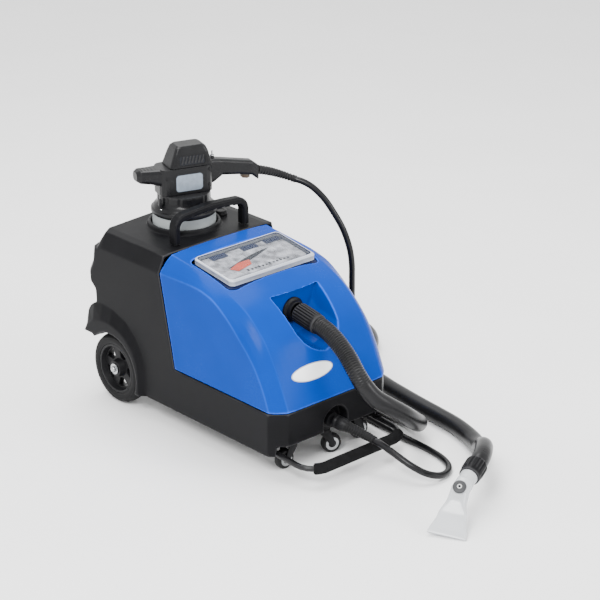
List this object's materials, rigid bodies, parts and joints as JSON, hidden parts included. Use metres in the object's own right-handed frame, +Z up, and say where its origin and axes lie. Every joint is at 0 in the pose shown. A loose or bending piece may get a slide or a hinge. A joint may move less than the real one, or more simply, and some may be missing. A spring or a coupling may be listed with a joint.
{
  "type": "carpet and upholstery cleaner",
  "caption": "Foam and extraction cleaner on wheels: black body, blue hood with clear lid, docked brush tool, vacuum hose with clear nozzle and umbilical cable.",
  "frame": {"origin": "on the floor under the middle of the machine, without its loose hose and cable", "axes": "+Z up, -Y towards the machine's front, +X towards its left-hand side as it faces forwards"},
  "size_m": [0.8582, 1.3328, 0.7227],
  "materials": {
    "body_black": "satin rotomoulded, fine grain",
    "hood_blue": "semi-gloss rotomoulded blue",
    "panel_grey": "satin dark grey",
    "switch_red": "glossy red rocker",
    "inlet_black": "black moulded inlet",
    "handle_black": "satin black with finger grooves",
    "cap_dark": "dark grey knurled cap",
    "seat_navy": "dark blue seat",
    "lid_clear": "clear polycarbonate",
    "hinge_navy": "dark blue hinge leaf",
    "tank_grey": "pale grey moulded tank",
    "inner_dark": "dark inner plastic",
    "float_white": "white float",
    "tank_white": "translucent white tank",
    "steel": "brushed",
    "port_dark": "satin dark port",
    "cuff_black": "ribbed soft cuff",
    "connector_dark": "dark plug",
    "relief_rubber": "ribbed rubber",
    "tyre": "black solid rubber",
    "rim_black": "black spoked rim",
    "nut_steel": "bright nut",
    "clamp_dark": "dark clamp",
    "bar_black": "black powder coat tube",
    "grip_foam": "black foam grip",
    "tool_black": "satin black housing",
    "label_grey": "pale blue-grey blank label",
    "trigger_grey": "bronze grey trigger",
    "toggle_steel": "bright pin",
    "copper": "wound rotor",
    "plate_dark": "dark brush plate",
    "bristle": "pale nylon bristles",
    "hose_black": "ribbed hose in a black sleeve",
    "nozzle_clear": "clear acrylic",
    "disc_grey": "grey disc",
    "cable_black": "smooth black cable",
    "caster_steel": "zinc plated",
    "caster_fork": "dark fork",
    "caster_wheel": "dark wheel with bright hub"
  },
  "bodies": {
    "chassis": {"chassis_shell": "body_black", "front_hood": "hood_blue", "rear_panel": "panel_grey", "mains_inlet": "inlet_black", "carry_handle": "handle_black", "lid_gasket": "seat_navy", "recovery_tank": "tank_grey", "float_cage": "inner_dark", "foam_tank": "tank_white", "vacuum_motor": "inner_dark", "foam_pump": "inner_dark", "hose_port": "port_dark", "port_cuff": "cuff_black", "connector_socket": "connector_dark", "connector_plug": "connector_dark", "front_relief": "relief_rubber", "axle": "steel", "hub_nut_left": "nut_steel", "hub_nut_right": "nut_steel", "caster_mount_left": "caster_steel", "caster_mount_centre": "caster_steel", "caster_mount_right": "caster_steel", "bar_clamp_left": "clamp_dark", "bar_clamp_right": "clamp_dark", "lift_bar": "bar_black", "bar_grip": "grip_foam", "vacuum_hose": "hose_black", "hose_cuff": "cuff_black", "nozzle_collar": "nozzle_clear", "nozzle_body": "nozzle_clear", "nozzle_disc": "disc_grey", "foam_cable": "cable_black"},
    "lid": {"clear_lid": "lid_clear", "lid_hinge_left": "hinge_navy", "lid_hinge_right": "hinge_navy"},
    "wheel_left": {"tyre_left": "tyre", "rim_left": "rim_black"},
    "wheel_right": {"tyre_right": "tyre", "rim_right": "rim_black"},
    "cap": {"filler_cap": "cap_dark"},
    "float": {"float_ball": "float_white"},
    "impeller": {"vacuum_impeller": "steel"},
    "vacuum_rocker": {"switch_vacuum": "switch_red"},
    "foam_rocker": {"switch_foam": "switch_red"},
    "tool": {"tool_column": "tool_black", "tool_head": "tool_black", "tool_cap": "tool_black", "label_plate": "label_grey", "tool_relief": "relief_rubber"},
    "brush": {"brush_plate": "plate_dark", "bristle_ring": "bristle", "armature": "copper"},
    "tool_trigger": {"trigger": "trigger_grey"},
    "tool_toggle": {"toggle": "toggle_steel"},
    "caster_left": {"caster_fork_left": "caster_fork"},
    "caster_roll_left": {"caster_wheel_left": "caster_wheel"},
    "caster_centre": {"caster_fork_centre": "caster_fork"},
    "caster_roll_centre": {"caster_wheel_centre": "caster_wheel"},
    "caster_right": {"caster_fork_right": "caster_fork"},
    "caster_roll_right": {"caster_wheel_right": "caster_wheel"}
  },
  "joints": [
    {"name": "lid_hinge", "type": "hinge", "parent": "chassis", "child": "lid", "pos_m": [0, 0.0495, 0.48501], "axis": [-1, 0, 0], "range_deg": [0, 90]},
    {"name": "wheel_left_spin", "type": "hinge", "parent": "chassis", "child": "wheel_left", "pos_m": [-0.183, 0.32, 0.1], "axis": [1, 0, 0], "continuous": true},
    {"name": "wheel_right_spin", "type": "hinge", "parent": "chassis", "child": "wheel_right", "pos_m": [0.183, 0.32, 0.1], "axis": [1, 0, 0], "continuous": true},
    {"name": "caster_left_swivel", "type": "hinge", "parent": "chassis", "child": "caster_left", "pos_m": [-0.112, -0.291, 0.07], "axis": [0, 0, 1], "continuous": true},
    {"name": "caster_left_roll", "type": "hinge", "parent": "caster_left", "child": "caster_roll_left", "pos_m": [-0.134, -0.291, 0.027], "axis": [0, -1, 0], "continuous": true},
    {"name": "caster_centre_swivel", "type": "hinge", "parent": "chassis", "child": "caster_centre", "pos_m": [0, -0.296, 0.07], "axis": [0, 0, 1], "continuous": true},
    {"name": "caster_centre_roll", "type": "hinge", "parent": "caster_centre", "child": "caster_roll_centre", "pos_m": [0.02067, -0.30352, 0.027], "axis": [0.342, 0.9397, 0], "continuous": true},
    {"name": "caster_right_swivel", "type": "hinge", "parent": "chassis", "child": "caster_right", "pos_m": [0.112, -0.291, 0.07], "axis": [0, 0, 1], "continuous": true},
    {"name": "caster_right_roll", "type": "hinge", "parent": "caster_right", "child": "caster_roll_right", "pos_m": [0.134, -0.291, 0.027], "axis": [0, 1, 0], "continuous": true},
    {"name": "tool_lift", "type": "slide", "parent": "chassis", "child": "tool", "axis": [0, 0, 1], "range_m": [0, 0.15]},
    {"name": "brush_spin", "type": "hinge", "parent": "tool", "child": "brush", "pos_m": [0, 0.259, 0.53], "axis": [0, 0, 1], "continuous": true},
    {"name": "impeller_spin", "type": "hinge", "parent": "chassis", "child": "impeller", "pos_m": [0, 0.322, 0.22], "axis": [0, 0, 1], "continuous": true},
    {"name": "trigger_pull", "type": "hinge", "parent": "tool", "child": "tool_trigger", "pos_m": [0.16168, 0.20647, 0.612], "axis": [-0.309, -0.9511, 0], "range_deg": [0, 9], "stiffness_Nm_per_rad": 0.05, "springref_deg": -5.73},
    {"name": "toggle_flip", "type": "hinge", "parent": "tool", "child": "tool_toggle", "pos_m": [0.07989, 0.23304, 0.672], "axis": [0.309, 0.9511, 0], "range_deg": [-9, 9]},
    {"name": "vacuum_rocker_tilt", "type": "hinge", "parent": "chassis", "child": "vacuum_rocker", "pos_m": [-0.05, 0.4285, 0.239], "axis": [1, 0, 0], "range_deg": [0, 16]},
    {"name": "foam_rocker_tilt", "type": "hinge", "parent": "chassis", "child": "foam_rocker", "pos_m": [-0.01, 0.4285, 0.239], "axis": [1, 0, 0], "range_deg": [0, 16]},
    {"name": "cap_turn", "type": "hinge", "parent": "chassis", "child": "cap", "pos_m": [0.118, 0.245, 0.4915], "axis": [0, 0, 1], "range_deg": [0, 90]},
    {"name": "float_rise", "type": "slide", "parent": "chassis", "child": "float", "axis": [0, 0, 1], "range_m": [0, 0.08]}
  ]
}
